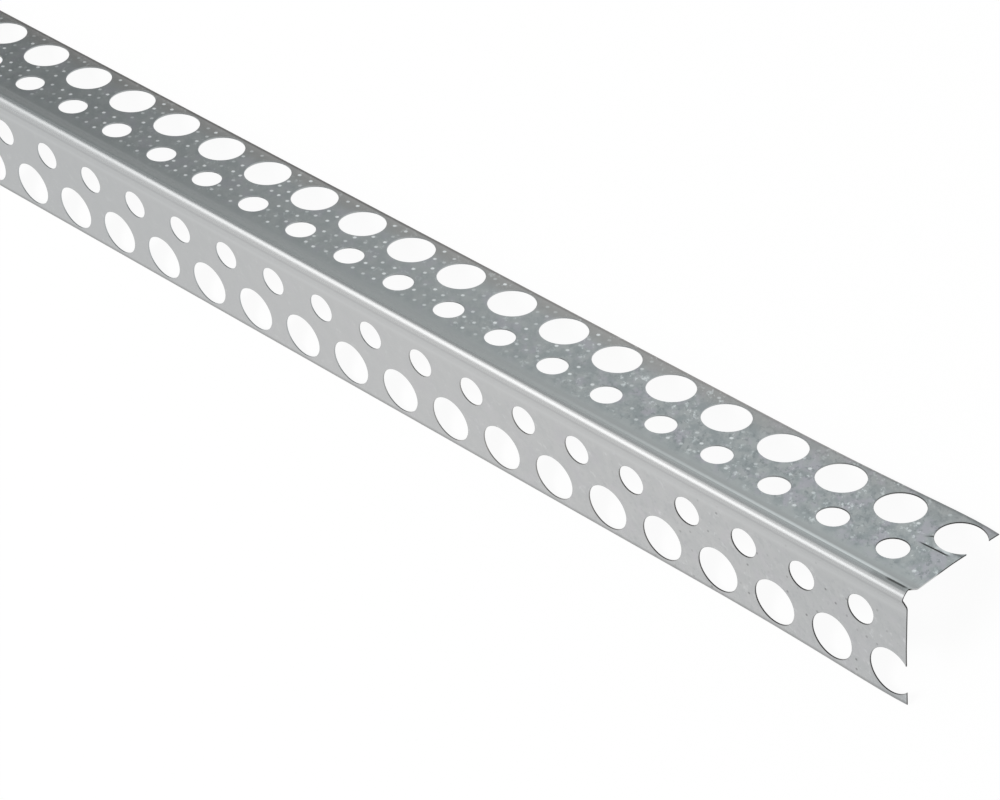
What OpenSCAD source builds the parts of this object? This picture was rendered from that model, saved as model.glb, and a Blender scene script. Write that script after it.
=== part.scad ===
// Perforated corner bead for plaster: one strip of galvanised sheet, with two wings and a raised nose.
// It stands like a tent on its two free edges. X runs along it, Y across it and Z up, in millimetres.
// The end at +X was cut off with a shear, which has bent a corner of each wing outwards.

/* [Stock] */
// Length of the bead
bead_length = 2500; // [100:1:3000]
// Thickness of the sheet
sheet = 0.3; // [0.25:0.05:0.5]
// Angle between the two wings, closed a little more than the wall's corner so that they spring onto it
wing_angle = 83; // [75:1:90]
// Width of a wing, from the corner where the two outer faces would meet to the free edge
wing_w = 25; // [25:0.5:40]

/* [Holes] */
// Distance between neighbouring holes of a row
hole_pitch = 14; // [13.5:0.5:25]
// Diameter of the large holes, which the plaster keys through
large_hole_d = 9.6; // [6:0.1:9.8]
// Distance of the row of large holes from the corner
large_hole_row = 19.1; // [18.5:0.1:19.5]
// Diameter of the small holes, for plaster and nails
small_hole_d = 6.1; // [3:0.1:6.2]
// Distance of the row of small holes from the corner
small_hole_row = 8.9; // [8.5:0.05:10]

/* [Nose] */
// Height of the nose's crown above the corner where the two outer faces would meet
nose_h = 0.65; // [0.4:0.05:0.9]
// Angle by which each flank of the nose flares out from its wing
flare_angle = 25; // [20:1:30]
// Outer radius of the crown, the gently rounded top of the nose
crown_r = 3; // [2:0.1:4]
// Angle from the top of the crown to each of its two edges
crown_angle = 18; // [12:1:22]
// Outer radius of the bend at each edge of the crown
shoulder_r = 0.6; // [0.6:0.05:0.8]
// Radius of the hollow bend where a wing turns into its flank, on the outer face
root_r = 1.5; // [0.8:0.1:2]

/* [Sheared end] */
// How far the sheared end lies past the middle of the first large hole, which it cuts through
end_cut = 3.7; // [1:0.1:4]
// Angle by which the corner of each wing is bent outwards
bent_angle = 4; // [1:0.5:6]
// Length of the bent corner's free edge. The fold runs from there to the foot of the nose at the sheared end
bent_l = 45; // [20:1:60]

/* [Hidden] */
$fn = 64;
bend_step = 9;
// Sheet past the sheared end that the shear takes off, and how far a bent corner laps back over its fold
spare = 2;
lap = 0.3;
wing_slope = 90 - wing_angle / 2;
flank_slope = wing_slope + flare_angle;

// Unit vectors across and along a stretch of the outer face that falls away at this slope
function across(slope) = [sin(slope), cos(slope)];
function along(slope) = [cos(slope), -sin(slope)];

// The half section from the crown to the wing, whose outer face points at the corner, which is at [0, 0]
crown_centre = [0, nose_h - crown_r];
shoulder_centre = crown_centre + (crown_r - shoulder_r) * across(crown_angle);
flank_top = shoulder_centre + shoulder_r * across(flank_slope);
flank_drop = (flank_top + root_r * across(flank_slope)) * across(wing_slope) - root_r;
flank_l = flank_drop / sin(flare_angle);
flank_foot = flank_top + flank_l * along(flank_slope);
root_centre = flank_foot + root_r * across(flank_slope);

// The fold of a bent corner in the plane of the wing: its foot beside the nose, and its angle to the bead
fold_foot = [0, root_centre * along(wing_slope) + 2 * lap];
fold_angle = atan2(wing_w - fold_foot[1], bent_l);

// The lowest point is the inner corner of the free edge
rest_h = wing_w * sin(wing_slope) + sheet * cos(wing_slope);

// Points of a bend of the sheet about this centre, from one slope to the other
function bend(centre, r, slope_a, slope_b) =
    let (steps = ceil(abs(slope_b - slope_a) / bend_step))
    [for (i = [0:steps]) centre + r * across(slope_a + (slope_b - slope_a) * i / steps)];

// The half section from the crown to the free edge, at this depth under the outer face
function half_section(depth) = concat(
    bend(crown_centre, crown_r - depth, 0, crown_angle - bend_step / 2),
    bend(shoulder_centre, shoulder_r - depth, crown_angle, flank_slope),
    bend(root_centre, -root_r - depth, flank_slope, wing_slope),
    [wing_w * along(wing_slope) - depth * across(wing_slope)]
);

function backwards(points) = [for (i = [len(points) - 1:-1:0]) points[i]];

// The same points on the other side, without the first, which lies on the middle line
function mirrored(points) = [for (i = [1:len(points) - 1]) [-points[i][0], points[i][1]]];

module section() {
    outer = half_section(0);
    inner = half_section(sheet);
    polygon(concat(outer, backwards(inner), mirrored(inner), backwards(mirrored(outer))));
}

// Both wings, each drawn flat: X from the sheared end, Y from the corner to the free edge, outer face at Z = 0
module on_each_wing() {
    rotate([-wing_slope, 0, 0]) children();
    mirror([0, 1, 0]) rotate([-wing_slope, 0, 0]) children();
}

// Outline of a wing's corner up to a line that lies this far back from the fold, with a margin past the sheet
module corner_outline(back, margin) {
    intersection() {
        translate([-spare - margin, fold_foot[1]])
            square([bent_l + spare + 2 * margin, wing_w - fold_foot[1] + margin]);
        translate(fold_foot)
            rotate(fold_angle)
                translate([-bent_l, -back])
                    square([3 * bent_l, 2 * wing_w]);
    }
}

// A wing's corner with its lap, turned outwards about the lap's back line on the inner face
module bent_corner() {
    translate([fold_foot[0], fold_foot[1], -sheet])
        rotate(fold_angle)
            translate([0, -lap, 0]) rotate([bent_angle, 0, 0]) translate([0, lap, 0])
                rotate(-fold_angle)
                    translate(-fold_foot)
                        linear_extrude(sheet)
                            corner_outline(lap, 0);
}

// The strip before punching, with the shear's cut still to come
module strip() {
    difference() {
        translate([-spare, 0, 0])
            rotate([90, 0, 90])
                linear_extrude(bead_length + spare)
                    section();
        on_each_wing()
            translate([0, 0, -2 * sheet])
                linear_extrude(3 * sheet)
                    corner_outline(0, 1);
    }
    on_each_wing() bent_corner();
}

module sheared_off() {
    reach = 2 * wing_w;
    translate([-reach, -reach, -reach])
        cube([reach, 2 * reach, 2 * reach]);
}

// Centres of a row's holes, from this distance from the sheared end to the last that the length still touches
function row(first) = [first:hole_pitch:bead_length + large_hole_d / 2];

// A punched hole, long enough to pass through a bent corner too
module hole(x, row_y, d) {
    translate([x, row_y, -2 * sheet])
        cylinder(d = d, h = 3 * sheet + wing_w * sin(bent_angle));
}

module holes() {
    for (x = row(end_cut)) hole(x, large_hole_row, large_hole_d);
    for (x = row(end_cut + hole_pitch / 2)) hole(x, small_hole_row, small_hole_d);
}

module corner_bead() {
    color([0.72, 0.74, 0.74])
        translate([bead_length / 2, 0, rest_h])
            rotate([0, 0, 180])
                difference() {
                    strip();
                    sheared_off();
                    on_each_wing() holes();
                }
}

corner_bead();
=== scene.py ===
# A galvanised corner bead for plaster, lying like a tent on a pale studio floor.
# Lengths are in millimetres until a mesh is made. x is the distance from the sheared end. s is the distance
# over the outer face from the middle of the nose, positive on the +Y side and negative on the -Y side. u
# is s without its sign, counted from the corner where the two flat outer faces would meet.
import math
from functools import reduce
from types import SimpleNamespace
import bpy
import numpy as np
from mathutils import Matrix, Vector
from mathutils.geometry import delaunay_2d_cdt


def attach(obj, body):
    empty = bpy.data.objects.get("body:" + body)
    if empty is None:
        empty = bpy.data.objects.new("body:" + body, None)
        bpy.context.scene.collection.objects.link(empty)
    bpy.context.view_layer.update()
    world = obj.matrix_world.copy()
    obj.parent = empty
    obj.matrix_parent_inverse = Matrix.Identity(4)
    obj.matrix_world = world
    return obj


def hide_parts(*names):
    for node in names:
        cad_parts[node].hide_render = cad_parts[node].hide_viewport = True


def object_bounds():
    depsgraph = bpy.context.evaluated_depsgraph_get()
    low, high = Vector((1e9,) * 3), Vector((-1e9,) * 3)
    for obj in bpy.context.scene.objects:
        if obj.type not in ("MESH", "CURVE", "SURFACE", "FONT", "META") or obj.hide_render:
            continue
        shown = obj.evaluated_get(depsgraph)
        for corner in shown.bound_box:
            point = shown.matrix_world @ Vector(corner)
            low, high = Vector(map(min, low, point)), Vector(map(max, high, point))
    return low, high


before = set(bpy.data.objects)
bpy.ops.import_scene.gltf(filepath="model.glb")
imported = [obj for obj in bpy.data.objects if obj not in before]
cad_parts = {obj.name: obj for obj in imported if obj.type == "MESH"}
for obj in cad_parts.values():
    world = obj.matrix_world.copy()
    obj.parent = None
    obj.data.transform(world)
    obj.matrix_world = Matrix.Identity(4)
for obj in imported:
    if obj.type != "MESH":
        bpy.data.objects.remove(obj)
CAD_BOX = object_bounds()

MM = 0.001

# Stock
BEAD_L = (CAD_BOX[1][0] - CAD_BOX[0][0]) / MM
SHEET = 0.3
WING_ANGLE = 83.0
WING_SLOPE = math.radians(90 - WING_ANGLE / 2)
WING_W = 25.0

# Holes
PITCH = 14.0
END_CUT = 3.7
LARGE_R, LARGE_ROW = 4.8, 19.1
SMALL_R, SMALL_ROW = 3.05, 8.9

# Nose
NOSE_H = 0.65
CROWN_R, CROWN_ANGLE = 3.0, math.radians(18)
SHOULDER_R = 0.6
ROOT_R = 1.5
FLARE_ANGLE = math.radians(25)
FLANK_SLOPE = WING_SLOPE + FLARE_ANGLE

# Sheared end. The shear has bent both wings outwards over SPLAY_L, and past CREASE_U each turns back a
# little. The first angle is the +Y wing's and the second the -Y wing's
SPLAY_ANGLES = math.radians(4.4), math.radians(3.9)
SPLAY_L = 50.0
CREASE_ANGLES = math.radians(4.7), math.radians(2.8)
CREASE_U, CREASE_L, CREASE_W = 12.8, 5.0, 0.8


def across(slope):
    """Unit vectors (y, z) across the outer face where it falls away at this slope."""
    return np.stack([np.sin(slope), np.cos(slope)], -1)


def along(slope):
    """Unit vectors (y, z) down the outer face where it falls away at this slope."""
    return np.stack([np.cos(slope), -np.sin(slope)], -1)


# The half section, as in the CAD model: crown, shoulder, flank and root, then the flat wing
CROWN_C = np.array([0.0, NOSE_H - CROWN_R])
SHOULDER_C = CROWN_C + (CROWN_R - SHOULDER_R) * across(CROWN_ANGLE)
FLANK_TOP = SHOULDER_C + SHOULDER_R * across(FLANK_SLOPE)
FLANK_DROP = (FLANK_TOP + ROOT_R * across(FLANK_SLOPE)) @ across(WING_SLOPE) - ROOT_R
FLANK_L = FLANK_DROP / math.sin(FLARE_ANGLE)
FLANK_FOOT = FLANK_TOP + FLANK_L * along(FLANK_SLOPE)
ROOT_C = FLANK_FOOT + ROOT_R * across(FLANK_SLOPE)
ROOT_U = float(ROOT_C @ along(WING_SLOPE))
REST_H = WING_W * math.sin(WING_SLOPE) + SHEET * math.cos(WING_SLOPE)

# Values of s where the crown, the shoulder, the flank and the root end
S_CROWN = CROWN_R * CROWN_ANGLE
S_SHOULDER = S_CROWN + SHOULDER_R * (FLANK_SLOPE - CROWN_ANGLE)
S_FLANK = S_SHOULDER + FLANK_L
S_ROOT = S_FLANK + ROOT_R * FLARE_ANGLE


def s_of(u):
    """The distance s of a point of the flat +Y wing at this u."""
    return u - ROOT_U + S_ROOT


S_EDGE = s_of(WING_W)


def by_wing(pair, s):
    """The first of the pair on the +Y wing, and the second on the -Y wing."""
    return np.where(s < 0, pair[1], pair[0])


def splay(x, s):
    """How far the wing is bent outwards at this distance from the sheared end, in radians."""
    return by_wing(SPLAY_ANGLES, s) * np.clip(1 - x / SPLAY_L, 0, None) ** 2


def crease(x, s):
    """How far the crease takes the wing back inwards, in mm."""
    angle = by_wing(CREASE_ANGLES, s) * np.exp(-x / CREASE_L)
    past = np.abs(s) - s_of(CREASE_U)
    return angle * (past + np.hypot(past, CREASE_W)) / 2


def outer_face(x, side_s):
    """Points (y, z) and slopes of the outer face about the corner, as on the +Y side, from two arrays."""
    s = np.abs(side_s)
    stretches = [s < limit for limit in (S_CROWN, S_SHOULDER, S_FLANK)]
    past_flank = np.clip((s - S_FLANK) / (S_ROOT - S_FLANK), 0, 1)
    bend = WING_SLOPE - splay(x, side_s) - FLANK_SLOPE
    slopes = [s / CROWN_R, CROWN_ANGLE + (s - S_CROWN) / SHOULDER_R, np.full(len(s), FLANK_SLOPE)]
    slope = np.select(stretches, slopes, FLANK_SLOPE + bend * past_flank)
    crown = CROWN_C + CROWN_R * across(slope)
    shoulder = SHOULDER_C + SHOULDER_R * across(slope)
    flank = FLANK_TOP + (s - S_SHOULDER)[:, None] * along(slope)
    wing = ROOT_C - ROOT_R * across(slope) + np.clip(s - S_ROOT, 0, None)[:, None] * along(slope)
    wing -= crease(x, side_s)[:, None] * across(slope)
    place = np.select([stretch[:, None] for stretch in stretches], [crown, shoulder, flank], wing)
    return place, slope


def bead_point(x, s, depth):
    """Points in the row frame, in metres, this deep under the outer face, for arrays x, s and depth."""
    face, slope = outer_face(x, s)
    face = face - depth[:, None] * across(slope)
    side = np.where(s < 0, -1.0, 1.0)
    return np.stack([BEAD_L / 2 - x, side * face[:, 0], REST_H + face[:, 1]], 1) * MM


# Detail of the mesh. The wings are built in stretches of one pitch, each about a large hole. The near ones,
# which the camera sees, are finer than the rest
CELLS = int((BEAD_L - END_CUT + LARGE_R) // PITCH) + 1
NEAR_CELLS = 22
# Sides of a large hole, a small hole and a dimple
NEAR_SIDES = 56, 36, 6
FAR_SIDES = 24, 16, 4
# Strips across the crown, the shoulder, the flank and the root
NOSE_STRIPS = 3, 7, 1, 4
# Parts that a near stretch's free edge and root are cut into, and more points on the lines between stretches
EDGE_PARTS = 4
BORDER_U = 14.5, 17.5, 20.5, 22.8
# Rounded rim of a near hole, and how far the outer face drops at these distances from the free edge
RIM_W, RIM_DROP = 0.1, 0.06
EDGE_ROLL = (0.45, 0.0), (0.2, 0.03), (0.0, 0.13)
# Where the outer face bends by more than this, its shading breaks
SHARP_ANGLE = math.radians(30)
# Corners of neighbouring stretches are one corner where they agree to this many decimals
DECIMALS = 4
TOUCH = 10.0 ** -DECIMALS
# The triangulation joins points that are closer than this
JOIN_REACH = 1e-6

# Dimples embossed in the +Y wing, in a grid with some scatter. Each stretch has DIMPLE_COLUMNS columns
DIMPLE_COLUMNS, DIMPLE_ROWS = 5, 7
DIMPLE_STEP = PITCH / DIMPLE_COLUMNS, 2.72
DIMPLE_FIRST_ROW = 6.4
DIMPLE_STRAY = 0.35
DIMPLE_R, DIMPLE_H = 0.63, 0.09
DIMPLE_MARGIN = 0.14
DIMPLE_SEED = 4


def dimple_grid():
    """Centres (x, s) by column and row, a random number for each, and which clear the holes and ends."""
    random = np.random.default_rng(DIMPLE_SEED)
    columns = END_CUT + DIMPLE_STEP[0] * (np.arange(CELLS * DIMPLE_COLUMNS) - DIMPLE_COLUMNS // 2)
    rows = s_of(DIMPLE_FIRST_ROW) + DIMPLE_STEP[1] * np.arange(DIMPLE_ROWS)
    places = np.stack(np.meshgrid(columns, rows, indexing="ij"), -1)
    places += random.uniform(-DIMPLE_STRAY, DIMPLE_STRAY, places.shape)
    chance = random.random(places.shape[:2])
    x, s = places[..., 0], places[..., 1]
    reach = DIMPLE_R + DIMPLE_MARGIN
    clear = (x > reach) & (x < BEAD_L - reach)
    for first, row, radius in ((END_CUT, LARGE_ROW, LARGE_R), (END_CUT + PITCH / 2, SMALL_ROW, SMALL_R)):
        to_hole = (x - first + PITCH / 2) % PITCH - PITCH / 2
        clear &= np.hypot(to_hole, s - s_of(row)) > radius + reach
    return places, chance, clear


DIMPLE_PLACES, DIMPLE_CHANCE, DIMPLE_CLEAR = dimple_grid()


def cell_dimples(cell):
    """Centres of the dimples in this stretch."""
    block = slice(cell * DIMPLE_COLUMNS, (cell + 1) * DIMPLE_COLUMNS)
    return DIMPLE_PLACES[block][DIMPLE_CLEAR[block]]


def dimple_shape(x, s):
    """How far up a dimple each corner is, from 0 at the rim to 1 at the top, and the dimple's chance."""
    column = np.rint((x - END_CUT) / DIMPLE_STEP[0]).astype(int) + DIMPLE_COLUMNS // 2
    row = np.rint((s - s_of(DIMPLE_FIRST_ROW)) / DIMPLE_STEP[1]).astype(int)
    nearest = np.clip(column, 0, len(DIMPLE_PLACES) - 1), np.clip(row, 0, DIMPLE_ROWS - 1)
    away = np.hypot(*(np.stack([x, s]) - DIMPLE_PLACES[nearest].T))
    inside = (away < DIMPLE_R + TOUCH) & DIMPLE_CLEAR[nearest]
    height = np.where(inside, np.clip(1 - away / DIMPLE_R, 0, 1), 0)
    return height, np.where(inside, DIMPLE_CHANCE[nearest], 0)


def ring(centre, radius, sides):
    """Points of a circle in the (x, s) plane. With an even count, two lie above and below its centre."""
    angles = math.pi / 2 + np.arange(sides) * 2 * math.pi / sides
    return np.stack([centre[0] + radius * np.cos(angles), centre[1] + radius * np.sin(angles)], 1)


def border_rows():
    """Values of s at which neighbouring stretches share points on their common line."""
    small = s_of(SMALL_ROW)
    rows = [S_ROOT, small - SMALL_R - RIM_W, small - SMALL_R, small + SMALL_R, small + SMALL_R + RIM_W]
    return rows + [s_of(u) for u in BORDER_U] + [S_EDGE - back for back, _ in EDGE_ROLL]


def cell_holes(near):
    """Centre, radius and sides of the holes of a stretch: a large one, and two small ones at its ends."""
    large_sides, small_sides, _ = NEAR_SIDES if near else FAR_SIDES
    holes = [((0.0, s_of(LARGE_ROW)), LARGE_R, large_sides)]
    return holes + [((way * PITCH / 2, s_of(SMALL_ROW)), SMALL_R, small_sides) for way in (-1, 1)]


def cell_paths(x0, x1, near, dimples):
    """Yields the lines that a stretch's triangles keep to, as points, and whether each line is closed."""
    stations = np.linspace(x0, x1, EDGE_PARTS + 1 if near else 2)
    for s in [S_ROOT] + [S_EDGE - back for back, _ in EDGE_ROLL]:
        yield [(x, s) for x in stations], False
    for x in (x0, x1):
        yield [(x, s) for s in border_rows()], False
    for centre, radius, sides in cell_holes(near):
        yield ring(centre, radius, sides), True
        if near:
            yield ring(centre, radius + RIM_W, sides), True
    _, _, dimple_sides = NEAR_SIDES if near else FAR_SIDES
    for centre in dimples:
        yield ring(centre, DIMPLE_R, dimple_sides), True
        yield [centre], False


def flat_cell(x0, x1, near, dimples):
    """Corners and triangles of a flat stretch from x0 to x1, with x = 0 at the middle of its large hole."""
    points, edges = [], []
    for places, closed in cell_paths(x0, x1, near, dimples):
        first, count = len(points), len(places)
        points.extend(Vector(place) for place in places)
        edges.extend((first + i, first + (i + 1) % count) for i in range(count if closed else count - 1))
    corners, _, triangles, _, _, _ = delaunay_2d_cdt(points, edges, [], 0, JOIN_REACH, False)
    corners = np.array([tuple(corner) for corner in corners])
    triangles = np.array(triangles)
    x, s = corners[triangles].mean(1).T
    keep = (x > x0) & (x < x1)
    for (hole_x, hole_s), radius, sides in cell_holes(near):
        keep &= np.hypot(x - hole_x, s - hole_s) > radius * math.cos(math.pi / sides)
    return corners, triangles[keep]


def flat_wing(dimpled):
    """Corners (x, s) and triangles of a whole flat wing as on the +Y side."""
    corners, triangles, total = [], [], 0
    for cell in range(CELLS):
        middle = np.array([END_CUT + PITCH * cell, 0.0])
        x0, x1 = max(-middle[0], -PITCH / 2), min(BEAD_L - middle[0], PITCH / 2)
        dimples = cell_dimples(cell) - middle if dimpled else ()
        cell_corners, cell_triangles = flat_cell(x0, x1, cell < NEAR_CELLS, dimples)
        cell_corners += middle
        cell_corners[:, 0] = np.clip(cell_corners[:, 0], 0, BEAD_L)
        corners.append(cell_corners)
        triangles.append(cell_triangles + total)
        total += len(cell_corners)
    return np.concatenate(corners), np.concatenate(triangles)


def nose_rows():
    """Values of s across the nose, from one root to the other."""
    limits = 0, S_CROWN, S_SHOULDER, S_FLANK, S_ROOT
    parts = zip(limits, limits[1:], NOSE_STRIPS)
    half = np.concatenate([np.linspace(start, end, strips + 1)[1:] for start, end, strips in parts])
    return np.concatenate([-half[::-1], [0.0], half])


def nose_grid(stations):
    """Corners (x, s) and four-sided faces of the flat nose, with a row of corners at each station."""
    x, s = np.meshgrid(stations, nose_rows(), indexing="ij")
    index = np.arange(x.size).reshape(x.shape)
    quads = np.stack([index[:-1, :-1], index[1:, :-1], index[1:, 1:], index[:-1, 1:]], -1)
    return np.stack([x.ravel(), s.ravel()], 1), quads.reshape(-1, 4)


def merged(corners, faces):
    """One corner at each place, with the faces on it renumbered, and unused corners dropped."""
    rounded = np.round(corners, DECIMALS)
    _, first, place = np.unique(rounded, axis=0, return_index=True, return_inverse=True)
    place = place.ravel()
    used = np.zeros(len(first), bool)
    for face in faces:
        used[place[list(face)]] = True
    number = np.cumsum(used) - 1
    return corners[first][used], [tuple(number[place[list(face)]]) for face in faces]


def sheet_layout():
    """Corners (x, s) and faces of the whole strip laid flat, with its holes and dimples."""
    plus, plus_faces = flat_wing(True)
    minus, minus_faces = flat_wing(False)
    on_root = np.abs(plus[:, 1] - S_ROOT) < TOUCH
    nose, nose_faces = nose_grid(np.unique(np.round(plus[on_root, 0], DECIMALS)))
    faces = [tuple(face) for face in plus_faces]
    faces += [tuple(face[::-1] + len(plus)) for face in minus_faces]
    faces += [tuple(face + len(plus) + len(minus)) for face in nose_faces]
    return merged(np.concatenate([plus, minus * [1, -1], nose]), faces)


def boundary(faces):
    """Directed edges that only one face has, in the order in which they come up."""
    single = {}
    for face in faces:
        for a, b in zip(face, face[1:] + face[:1]):
            if (b, a) in single:
                del single[b, a]
            else:
                single[a, b] = True
    return list(single)


def hole_rims(x, s, on_boundary):
    """Which corners lie on the rim of a hole that is built finely."""
    on_wing = S_EDGE - np.abs(s) > EDGE_ROLL[0][0]
    return on_boundary & on_wing & (x > TOUCH) & (x < (NEAR_CELLS - 1) * PITCH)


def rounding(x, s, on_boundary):
    """How far the outer face's corners drop where punching and slitting have rounded the sheet's edges."""
    drop = np.zeros(len(x))
    back = S_EDGE - np.abs(s)
    for distance, depth in EDGE_ROLL:
        drop = np.where(np.abs(back - distance) < TOUCH, depth, drop)
    return np.where(hole_rims(x, s, on_boundary), RIM_DROP, drop)


def store(mesh, name, values):
    """Stores a number or a vector at each corner of the mesh, for the material to read."""
    kind, field = ("FLOAT_VECTOR", "vector") if values.ndim == 2 else ("FLOAT", "value")
    mesh.attributes.new(name, kind, "POINT").data.foreach_set(field, values.ravel())


def corner_bead_mesh():
    """The whole sheet as one closed mesh. "sheet" holds x, s and a layer, 0 outside and 1 inside."""
    corners, faces = sheet_layout()
    x, s = corners.T
    count = len(corners)
    border = boundary(faces)
    on_boundary = np.zeros(count, bool)
    on_boundary[np.array(border).ravel()] = True
    height, chance = dimple_shape(x, s)
    outer = bead_point(x, s, rounding(x, s, on_boundary) - DIMPLE_H * height)
    inner = bead_point(x, s, SHEET - DIMPLE_H * height)
    skin = [face[::-1] for face in faces]
    skin += [tuple(i + count for i in face) for face in faces]
    skin += [(a, b, b + count, a + count) for a, b in border]
    mesh = bpy.data.meshes.new("corner_bead_skin")
    mesh.from_pydata(np.concatenate([outer, inner]).tolist(), [], [[int(i) for i in face] for face in skin])
    mesh.validate()
    mesh.shade_smooth()
    mesh.set_sharp_from_angle(angle=SHARP_ANGLE)
    place = np.stack([x, s, np.zeros(count)], 1)
    store(mesh, "sheet", np.concatenate([place, place + [0, 0, 1]]))
    store(mesh, "dimple", np.tile(np.stack([height, chance, np.zeros(count)], 1), (2, 1)))
    store(mesh, "rim", np.tile(hole_rims(x, s, on_boundary).astype(float), 2))
    return mesh


def add_corner_bead():
    bead = bpy.data.objects.new("corner_bead_sheet", corner_bead_mesh())
    bpy.context.scene.collection.objects.link(bead)
    bead.data.materials.append(galvanised_steel())
    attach(bead, "root")
    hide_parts("corner_bead")


def new_material(name):
    material = bpy.data.materials.new(name)
    material.use_nodes = True
    tree = material.node_tree
    tree.nodes.clear()
    return material, tree


def put(tree, kind, inputs=(), **settings):
    """A new node with these settings. An input is linked where its value is a socket, and else set."""
    node = tree.nodes.new("ShaderNode" + kind)
    for name, value in settings.items():
        setattr(node, name, value)
    for key, value in dict(inputs).items():
        if isinstance(value, bpy.types.NodeSocket):
            tree.links.new(value, node.inputs[key])
        else:
            node.inputs[key].default_value = value
    return node


def stored(tree, name, output="Vector"):
    """A socket with what the mesh stores under this name."""
    return put(tree, "Attribute", attribute_name=name).outputs[output]


def numbers_of(tree, vector):
    """The three numbers of a vector, as sockets."""
    return put(tree, "SeparateXYZ", {0: vector}).outputs


def calc(tree, operation, *values):
    return put(tree, "Math", enumerate(values), operation=operation).outputs[0]


def times(tree, *values):
    """The product of all these sockets and numbers."""
    return reduce(lambda a, b: calc(tree, "MULTIPLY", a, b), values)


def greatest(tree, *values):
    """The greatest of all these sockets and numbers."""
    return reduce(lambda a, b: calc(tree, "MAXIMUM", a, b), values)


def ramp(tree, value, start, end, low=0.0, high=1.0):
    """Goes smoothly from low to high while value goes from start to end."""
    fade = put(tree, "MapRange", interpolation_type="SMOOTHSTEP",
               inputs={"Value": value, "From Min": start, "From Max": end, "To Min": low, "To Max": high})
    return fade.outputs["Result"]


def between(tree, share, low, high):
    """Goes smoothly from low to high while share goes from 0 to 1."""
    return ramp(tree, share, 0, 1, low, high)


def blend(tree, share, colour_a, colour_b):
    mix = put(tree, "Mix", {"Factor": share, "A": colour_a, "B": colour_b}, data_type="RGBA")
    return mix.outputs["Result"]


def layered(tree, colour, *layers):
    """This colour with others laid over it one after the other, each with its share."""
    for share, over in layers:
        colour = blend(tree, share, colour, over)
    return colour


# Zinc, as base colours of a metal, and the steel that punching and slitting lay bare
ZINC = 0.515, 0.52, 0.52, 1
# The next colour is the zinc of the dull patches, and also the painted shade on the -Y wing
ZINC_DULL_AND_SHADE = 0.405, 0.422, 0.43, 1
ZINC_DARK = 0.33, 0.345, 0.355, 1
ZINC_VIOLET = 0.535, 0.505, 0.55, 1
# The next colour is the spangle's bright flecks, and also the painted highlights on the dimples, the nose and
# the dents
ZINC_FLECK_AND_HIGHLIGHT = 0.95, 0.965, 0.97, 1
ZINC_EDGE = 0.445, 0.425, 0.415, 1
# The next colour is bare steel, the dark spots and the line along the free edges, and also the painted shade
# of the dents
CUT_STEEL_AND_SHADE = 0.04, 0.038, 0.036, 1
CUT_STEEL_PALE = 0.27, 0.26, 0.25, 1

# In the zinc, a name that ends in _X, _S or _U holds two places along x, s or u, and something goes
# smoothly from one strength to another between them
PLUS_S = 0.5, 3.0
NEAR_X = 150.0, 50.0


def sheet_places(tree):
    """Sockets for a point's place. plus is 1 on the +Y wing, minus on the -Y wing, near beside the end."""
    flat = stored(tree, "sheet")
    x, s, layer = numbers_of(tree, flat)
    u = calc(tree, "ADD", calc(tree, "ABSOLUTE", s), ROOT_U - S_ROOT)
    plus = ramp(tree, s, *PLUS_S)
    minus = between(tree, plus, 1, 0)
    near = ramp(tree, x, *NEAR_X)
    return SimpleNamespace(flat=flat, x=x, s=s, u=u, layer=layer, plus=plus, minus=minus, near=near)


# Which way the spangle is drawn out on the sheet, how far, and a shift to another part of the noise
GRAIN_TURN = 0, 0, math.radians(-41)
GRAIN_STRETCH = 0.85, 1.35, 1
NOISE_SHIFT = 40, 70, 9

# Patterns of the spangle: the noise's scale to a millimetre, its detail and roughness, and the two values
# between which the pattern comes in. The clusters don't go under the last number
DULL_PATCHES = 0.36, 4.0, 0.6, 0.39, 0.61
VIOLET_PATCHES = 0.3, 2.0, 0.6, 0.5, 0.66
FLECKS = 0.62, 3.0, 0.7, 0.54, 0.71
FLECK_CLUSTERS = 0.12, 1.0, 0.6, 0.42, 0.56, 0.1
GRAIN = 0.95, 3.0, 0.6, 0.53, 0.67

# Strength of the spangle on the -Y wing and far from the sheared end, and of its colours
SPANGLE_MINUS, SPANGLE_FAR = 0.25, 0.5
SPANGLE_U = 3.0, 6.5
VIOLET_SHARE, GRAIN_SHARE, FLECK_SHARE = 0.8, 0.85, 0.75


def pattern(tree, place, scale, detail, rough, start, end, low=0.0):
    """A noise that goes smoothly from low to 1 while its value goes from start to end."""
    texture = put(tree, "TexNoise", {"Vector": place, "Scale": scale, "Detail": detail, "Roughness": rough})
    return ramp(tree, texture.outputs["Fac"], start, end, low)


def spangle(tree, at):
    """Shares of dull patches, patches with a violet cast, dark grain beside the end, and bright flecks."""
    drawn_out = put(tree, "Mapping", {"Vector": at.flat, "Rotation": GRAIN_TURN, "Scale": GRAIN_STRETCH},
                    vector_type="TEXTURE").outputs[0]
    elsewhere = put(tree, "Mapping", {"Vector": drawn_out, "Location": NOISE_SHIFT}).outputs[0]
    by_side = between(tree, at.plus, SPANGLE_MINUS, 1.0)
    by_distance = between(tree, at.near, SPANGLE_FAR, 1.0)
    strength = times(tree, by_side, by_distance, ramp(tree, at.u, *SPANGLE_U))
    dull = times(tree, pattern(tree, drawn_out, *DULL_PATCHES), strength)
    violet = times(tree, pattern(tree, elsewhere, *VIOLET_PATCHES), strength, VIOLET_SHARE)
    grain = times(tree, pattern(tree, elsewhere, *GRAIN), at.near, strength, GRAIN_SHARE)
    clustered = times(tree, pattern(tree, elsewhere, *FLECK_CLUSTERS), pattern(tree, drawn_out, *FLECKS))
    return dull, violet, grain, times(tree, clustered, strength, FLECK_SHARE)


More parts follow.
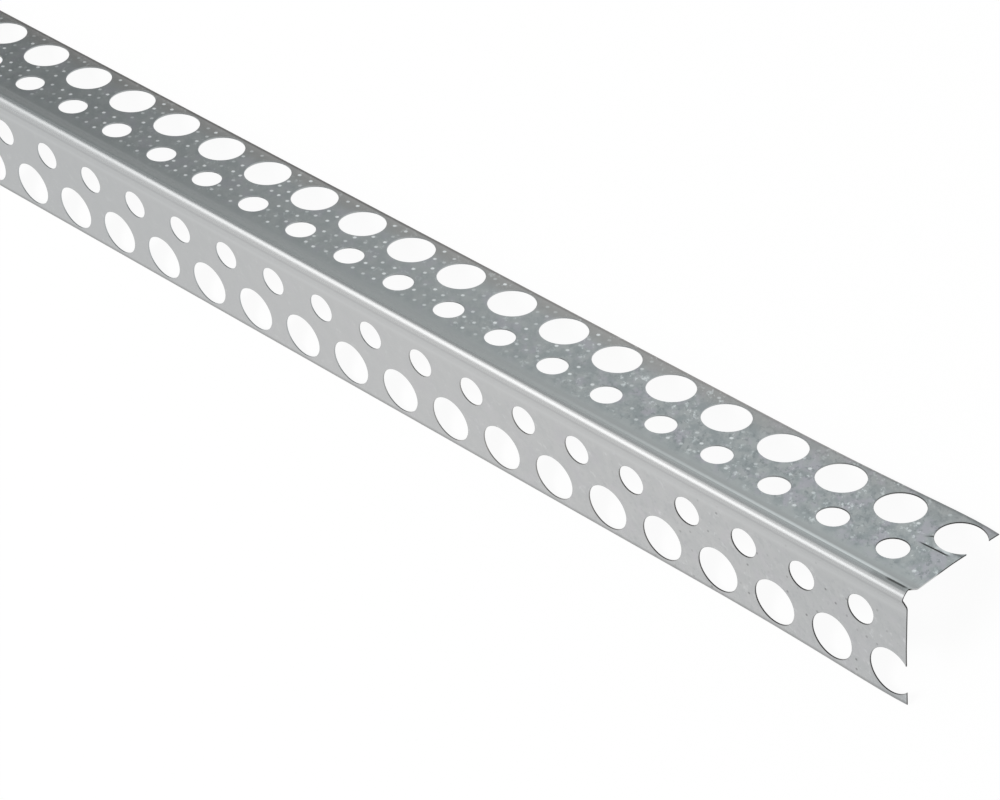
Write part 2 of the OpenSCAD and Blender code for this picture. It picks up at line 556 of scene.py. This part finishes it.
# Painted shade on the -Y wing: its least strength, beside the sheared end, far from it, and at the sheared
# corner
MINUS_SHADE_LEAST, MINUS_SHADE_NEAR, MINUS_SHADE_FAR, MINUS_SHADE_CORNER = 0.06, 0.36, 0.5, 0.9
MINUS_SHADE_NEAR_X, MINUS_SHADE_FAR_X, MINUS_SHADE_CORNER_X = (60, 5), (120, 250), (14, 2)
MINUS_SHADE_CORNER_U = 19.0, 22.0


def painted_shade_minus_wing(tree, at):
    near = ramp(tree, at.x, *MINUS_SHADE_NEAR_X, MINUS_SHADE_LEAST, MINUS_SHADE_NEAR)
    far = ramp(tree, at.x, *MINUS_SHADE_FAR_X, MINUS_SHADE_LEAST, MINUS_SHADE_FAR)
    corner = times(tree, ramp(tree, at.u, *MINUS_SHADE_CORNER_U), ramp(tree, at.x, *MINUS_SHADE_CORNER_X, 0, MINUS_SHADE_CORNER))
    return times(tree, greatest(tree, near, far, corner), at.minus)


# Warmer grey towards the free edge of the +Y wing, and how strong it is at the sheared end and away from it
WARM_U, WARM_X = (18.5, 23.0), (15, 90)
WARM_NEAR, WARM_FAR = 0.3, 0.95


def warm_edge(tree, at):
    return times(tree, ramp(tree, at.u, *WARM_U), ramp(tree, at.x, *WARM_X, WARM_NEAR, WARM_FAR), at.plus)


# Painted highlight on the tops of the dimples: where on a dimple's height it comes in, the least highlight
# and what chance adds to it, both far from the sheared end and near it, and the share of near dimples that
# chance adds nothing to
DIMPLE_TOP = 0.1, 0.6
DIMPLE_HIGHLIGHT_LEAST = 0.4, 0.05
DIMPLE_CHANCE_ADDS = 0.7, 0.75
DIMPLE_NEAR_PLAIN = 0.55
# How metallic a dimple is under its painted highlight. Its round top gathers light from all sides, as a matt
# surface does
DIMPLE_METAL = 0.6


def dimple_painted_highlight(tree, at):
    height, chance, _ = numbers_of(tree, stored(tree, "dimple"))
    plain = times(tree, at.near, DIMPLE_NEAR_PLAIN)
    added = ramp(tree, chance, plain, 1.0, 0.0, between(tree, at.near, *DIMPLE_CHANCE_ADDS))
    highlight = calc(tree, "ADD", added, between(tree, at.near, *DIMPLE_HIGHLIGHT_LEAST))
    return times(tree, ramp(tree, height, *DIMPLE_TOP), highlight)


# Dark spots in the -Y wing beside the sheared end, each in a cell of a random pattern: the cells to a
# millimetre, and the distances, in cells, and the cell's random numbers between which a spot comes in
SPOT_CELLS = 0.42
SPOT_REACH = 0.15, 0.06
SPOT_CHANCE = 0.68, 0.98
SPOT_X, SPOT_U = (85, 30), (3.0, 4.5)
SPOT_SHARE = 0.5


def dark_spots(tree, at):
    cells = put(tree, "TexVoronoi", {"Vector": at.flat, "Scale": SPOT_CELLS}, voronoi_dimensions="2D").outputs
    chance = put(tree, "SeparateColor", {"Color": cells["Color"]}).outputs[0]
    spot = times(tree, ramp(tree, cells["Distance"], *SPOT_REACH), ramp(tree, chance, *SPOT_CHANCE))
    return times(tree, spot, ramp(tree, at.x, *SPOT_X, 0, SPOT_SHARE), at.minus, ramp(tree, at.u, *SPOT_U))


# Painted sheen on the +Y flank of the nose beside the sheared end, weaker at the very end, and a little
# painted sheen on the foot of the -Y flank, all along
SHEEN_START_S, SHEEN_END_S = (1.3, 1.8), (3.8, 2.2)
SHEEN_X, SHEEN_SHARE = (110, 0), 0.85
SHEEN_TIP_X, SHEEN_TIP_SHARE = (1, 9), 0.3
SHEEN_FOOT_START_S, SHEEN_FOOT_END_S, SHEEN_FOOT_SHARE = (-1.9, -2.9), (-6.0, -4.2), 0.14


def painted_sheen(tree, at):
    tip = ramp(tree, at.x, *SHEEN_TIP_X, SHEEN_TIP_SHARE, 1)
    lengthways = times(tree, ramp(tree, at.x, *SHEEN_X, 0, SHEEN_SHARE), tip)
    flank = times(tree, ramp(tree, at.s, *SHEEN_START_S), ramp(tree, at.s, *SHEEN_END_S), lengthways)
    foot = times(tree, ramp(tree, at.s, *SHEEN_FOOT_START_S), ramp(tree, at.s, *SHEEN_FOOT_END_S, 0, SHEEN_FOOT_SHARE))
    return calc(tree, "ADD", flank, foot)


# Painted shade and highlights for the shear's dents in the +Y wing and nose: lines from (x, u) to (x, u),
# with their half width and strength. Then how far from its ends, along x, each comes in and goes out
PAINTED_SHADE_MARKS = (
    ((8.5, 13.3), (1.9, 13.4), 0.28, 1.0),
    ((8.8, 15.3), (6.2, 17.1), 0.4, 0.95),
    ((2.6, 14.6), (-1.0, 15.0), 0.45, 0.4),
    ((5.5, 0.3), (0.3, 0.42), 0.5, 0.85),
    ((8.5, -0.1), (0.3, 0.1), 0.75, 0.25),
)
PAINTED_HIGHLIGHT_MARKS = (
    ((6.0, 14.2), (1.6, 14.0), 0.55, 0.5),
    ((1.6, 13.6), (-1.0, 13.8), 0.6, 0.15),
)
MARK_IN = 0.5, -1.4
MARK_OUT = -0.6, 0.9
MARK_CORE = 0.3


def mark(tree, at, start, end, half_width, strength):
    """One mark. It has its full strength over MARK_CORE of its width."""
    (x0, u0), (x1, u1) = start, end
    slope = (u1 - u0) / (x1 - x0)
    line_u = calc(tree, "MULTIPLY_ADD", at.x, slope, u0 - x0 * slope)
    away = calc(tree, "ABSOLUTE", calc(tree, "SUBTRACT", at.u, line_u))
    comes_in = ramp(tree, at.x, *(x0 + step for step in MARK_IN))
    goes_out = ramp(tree, at.x, *(x1 + step for step in MARK_OUT))
    return times(tree, ramp(tree, away, half_width, half_width * MARK_CORE, 0, strength), comes_in, goes_out)


def marks(tree, at, lines):
    return greatest(tree, *[mark(tree, at, *line) for line in lines])


# Cut edges: bare dark steel beside the sheared end, and dull zinc away from it. The steel comes in from
# BARE_FROM to BARE_TO, the first for the -Y wing and the second for the +Y wing. Over PALE_X the -Y wing's
# edges go from pale steel to the zinc
BARE_FROM, BARE_TO = (120, 55), (30, 10)
PALE_X = 100, 170
# Stretch of the +Y wing's sheared edge that is as bright as the zinc
CLEAN_START_U, CLEAN_END_U, CLEAN_X = (0.9, 1.4), (9.0, 7.5), (1.0, 0.2)
# How deep in the sheet the cut shows, as a share of its thickness, and how strongly the rims of holes show it
CUT_LAYER = 0.02
RIM_PALE, RIM_BARE = 0.4, 0.8


def cut_edges(tree, at):
    """The share of the cut edges and hole rims, and their colour."""
    bare = ramp(tree, at.x, between(tree, at.plus, *BARE_FROM), between(tree, at.plus, *BARE_TO))
    pale = blend(tree, greatest(tree, at.plus, ramp(tree, at.x, *PALE_X)), CUT_STEEL_PALE, ZINC_DULL_AND_SHADE)
    clean = times(tree, at.plus, ramp(tree, at.u, *CLEAN_START_U), ramp(tree, at.u, *CLEAN_END_U),
                  ramp(tree, at.x, *CLEAN_X))
    steel = layered(tree, pale, (bare, CUT_STEEL_AND_SHADE), (clean, ZINC))
    under_outer = calc(tree, "GREATER_THAN", at.layer, CUT_LAYER)
    over_inner = calc(tree, "LESS_THAN", at.layer, 1 - CUT_LAYER)
    rims = times(tree, stored(tree, "rim", "Fac"), between(tree, bare, RIM_PALE, RIM_BARE))
    return greatest(tree, times(tree, under_outer, over_inner), rims), steel


# Dark line along the rolled free edges, faint on the -Y wing and beside the sheared end, and strong on the
# rest of the +Y wing
EDGE_LINE_U = WING_W - 1.1, WING_W - 0.2
EDGE_LINE_X = 60, 180
EDGE_LINE_NEAR, EDGE_LINE_FAR = 0.4, 0.9


def shadowed(tree, at):
    """The share of the painted shade for the shear's dents, and of the dark line along the free edges."""
    on_plus = ramp(tree, at.x, *EDGE_LINE_X, EDGE_LINE_NEAR, EDGE_LINE_FAR)
    line = times(tree, ramp(tree, at.u, *EDGE_LINE_U), between(tree, at.plus, EDGE_LINE_NEAR, on_plus))
    return greatest(tree, times(tree, marks(tree, at, PAINTED_SHADE_MARKS), calc(tree, "GREATER_THAN", at.s, 0)), line)


# Roughness of the crown beside the sheared end and far from it, of the wings, and what the flanks add. The
# crown and the flanks end between these distances from the middle of the nose
CROWN_ROUGH, CROWN_ROUGH_X = (0.2, 0.26), (60, 260)
WING_ROUGH = 0.3
FLANK_ROUGH = 0.25
CROWN_END_S, FLANK_END_S = (0.8, 1.6), (5.2, 4.4)

# Height of the dull patches
PATCH_H = 0.02


def roughness(tree, at):
    distance = calc(tree, "ABSOLUTE", at.s)
    crown = ramp(tree, at.x, *CROWN_ROUGH_X, *CROWN_ROUGH)
    past_crown = ramp(tree, distance, *CROWN_END_S)
    flank = times(tree, past_crown, ramp(tree, distance, *FLANK_END_S, 0, FLANK_ROUGH))
    return calc(tree, "ADD", ramp(tree, distance, *CROWN_END_S, crown, WING_ROUGH), flank)


def galvanised_steel():
    """Zinc with a soft spangle, dark spots and darker cut edges. Painted highlights brighten the dimples and
    the nose's flanks, painted shade darkens the -Y wing, and both draw the shear's dents.
    """
    material, tree = new_material("galvanised_steel")
    at = sheet_places(tree)
    dull, violet, grain, flecks = spangle(tree, at)
    # The share of the painted highlight on the dimples' tops
    dimples = dimple_painted_highlight(tree, at)
    colour = layered(
        tree,
        ZINC,
        (dull, ZINC_DULL_AND_SHADE),
        (violet, ZINC_VIOLET),
        # Painted shade on the -Y wing
        (painted_shade_minus_wing(tree, at), ZINC_DULL_AND_SHADE),
        (grain, ZINC_DARK),
        (warm_edge(tree, at), ZINC_EDGE),
        (flecks, ZINC_FLECK_AND_HIGHLIGHT),
        (dimples, ZINC_FLECK_AND_HIGHLIGHT),
        (dark_spots(tree, at), CUT_STEEL_AND_SHADE),
        # Painted sheen on the flanks of the nose
        (painted_sheen(tree, at), ZINC_FLECK_AND_HIGHLIGHT),
        # Painted highlights for the shear's dents
        (times(tree, marks(tree, at, PAINTED_HIGHLIGHT_MARKS), at.plus), ZINC_FLECK_AND_HIGHLIGHT),
        cut_edges(tree, at),
        # Painted shade for the shear's dents, and the dark line along the free edges
        (shadowed(tree, at), CUT_STEEL_AND_SHADE),
    )
    bump = put(tree, "Bump", {"Height": dull, "Distance": PATCH_H * MM})
    metal = between(tree, dimples, 1.0, DIMPLE_METAL)
    shader = put(tree, "BsdfPrincipled", {"Base Color": colour, "Metallic": metal, "Normal": bump.outputs[0],
                                          "Roughness": roughness(tree, at)})
    put(tree, "OutputMaterial", {"Surface": shader.outputs[0]})
    return material


# Studio, in metres
FLOOR_SIZE = 8.0
FLOOR_COLOUR = 0.85, 0.85, 0.85, 1
FLOOR_GLOW = 0.94
WHITE = 1, 1, 1, 1
WORLD_LEVEL = 0.65


def seen_plainly(tree):
    """A socket that is 1 for the rays of camera, gloss and glass, and 0 for the light on the object."""
    rays = put(tree, "LightPath").outputs
    return greatest(tree, rays["Is Camera Ray"], rays["Is Glossy Ray"], rays["Is Transmission Ray"])


def add_floor():
    """A pale matt floor. Most of its white is plain to camera and gloss, and the rest takes the shadow."""
    half = FLOOR_SIZE / 2
    mesh = bpy.data.meshes.new("floor")
    corners = [(-half, -half, 0), (half, -half, 0), (half, half, 0), (-half, half, 0)]
    mesh.from_pydata(corners, [], [(0, 1, 2, 3)])
    floor = bpy.data.objects.new("floor", mesh)
    bpy.context.scene.collection.objects.link(floor)
    material, tree = new_material("pale_floor")
    matt = put(tree, "BsdfDiffuse", {"Color": FLOOR_COLOUR})
    glow = put(tree, "Emission", {"Strength": 1.0})
    share = times(tree, seen_plainly(tree), FLOOR_GLOW)
    mix = put(tree, "MixShader", {0: share, 1: matt.outputs[0], 2: glow.outputs[0]})
    put(tree, "OutputMaterial", {"Surface": mix.outputs[0]})
    mesh.materials.append(material)


def set_world():
    """A soft grey light all round, which the camera, and gloss and glass, see as plain white."""
    world = bpy.data.worlds.new("studio")
    world.use_nodes = True
    tree = world.node_tree
    tree.nodes.clear()
    strength = between(tree, seen_plainly(tree), WORLD_LEVEL, 1.0)
    background = put(tree, "Background", {"Color": WHITE, "Strength": strength})
    put(tree, "OutputWorld", {"Surface": background.outputs[0]})
    bpy.context.scene.world = world


# A grey card along the +Y side, with a foot on the floor. Only gloss shows it. Its rows are (y, z). Each of
# its three faces has a name, a colour, and a level for each end of CARD_FADE, the far end first
CARD_X = -1.6, 1.6
CARD_ROWS = (0.0176, 0.0002), (0.14, 0.0002), (0.14, 0.07), (0.14, 0.55)
CARD_FADE = 0.85, 1.18
CARD_LEVELS = (
    ("foot", (0.93, 0.985, 0.99, 1), 0.17, 0.72),
    ("low", (0.905, 0.985, 0.99, 1), 0.39, 0.79),
    ("high", (0.94, 0.985, 0.99, 1), 0.52, 0.77),
)


def card_finish(name, colour, far, near):
    """A glow of this colour that goes from one level at the far end to another at the near end."""
    material, tree = new_material("card_" + name)
    x = numbers_of(tree, put(tree, "TexCoord").outputs["Object"])["X"]
    glow = put(tree, "Emission", {"Color": colour, "Strength": ramp(tree, x, *CARD_FADE, far, near)})
    put(tree, "OutputMaterial", {"Surface": glow.outputs[0]})
    return material


def add_card():
    corners = [(x, y, z) for y, z in CARD_ROWS for x in CARD_X]
    faces = [(i, i + 1, i + 3, i + 2) for i in range(0, len(corners) - 2, 2)]
    mesh = bpy.data.meshes.new("grey_card")
    mesh.from_pydata(corners, [], faces)
    card = bpy.data.objects.new("grey_card", mesh)
    bpy.context.scene.collection.objects.link(card)
    card.visible_camera = False
    card.visible_diffuse = False
    card.visible_transmission = False
    card.visible_shadow = False
    for face, level in zip(mesh.polygons, CARD_LEVELS):
        face.material_index = len(mesh.materials)
        mesh.materials.append(card_finish(*level))


# A strip light over the bead draws the line along its nose. It hangs level, a little askew of the bead. The
# key light comes from the -Y side, and gloss doesn't show it
STRIP_ENDS = Vector((0.0, 0.14, 1.0)), Vector((0.7, -0.33, 1.0))
STRIP_W = 0.36
STRIP_POWER = 1.0
KEY_AT, KEY_AIM = (0.6, -0.9, 1.5), (1.1, 0, 0)
KEY_SIZE = 1.0, 1.0
KEY_POWER = 22.0


def facing(place, aim):
    """The turn of a lamp or camera at this place that looks at this point, as a quaternion."""
    return (Vector(aim) - Vector(place)).to_track_quat("-Z", "Y")


def add_lamp(name, place, turn, size, power):
    lamp = bpy.data.lights.new(name, "AREA")
    lamp.shape = "RECTANGLE"
    lamp.size, lamp.size_y = size
    lamp.energy = power
    holder = bpy.data.objects.new(name, lamp)
    holder.location = place
    holder.rotation_euler = turn
    bpy.context.scene.collection.objects.link(holder)
    return holder


def add_lights():
    along_strip = STRIP_ENDS[1] - STRIP_ENDS[0]
    middle = (STRIP_ENDS[0] + STRIP_ENDS[1]) / 2
    level = 0, 0, math.atan2(along_strip.y, along_strip.x)
    add_lamp("strip_light", middle, level, (along_strip.length, STRIP_W), STRIP_POWER)
    key = add_lamp("key_light", KEY_AT, facing(KEY_AT, KEY_AIM).to_euler(), KEY_SIZE, KEY_POWER)
    key.visible_glossy = False


# Camera: where it stands, the point it looks at and how far it leans about its line of sight
CAMERA_AT = Vector((1.61386, 0.01318, 0.64237))
CAMERA_AIM = Vector((1.14662, -0.00465, 0.010))
CAMERA_ROLL = math.radians(-63.748)
LENS = 149.5
SENSOR_W = 36.0


def add_camera():
    data = bpy.data.cameras.new("camera")
    data.lens = LENS
    data.sensor_width = SENSOR_W
    camera = bpy.data.objects.new("camera", data)
    look = facing(CAMERA_AT, CAMERA_AIM).to_matrix().to_4x4()
    camera.matrix_world = Matrix.Translation(CAMERA_AT) @ look @ Matrix.Rotation(CAMERA_ROLL, 4, "Z")
    bpy.context.scene.collection.objects.link(camera)
    bpy.context.scene.camera = camera


add_corner_bead()
add_floor()
set_world()
add_card()
add_lights()
add_camera()
bpy.context.scene.view_settings.view_transform = "Standard"
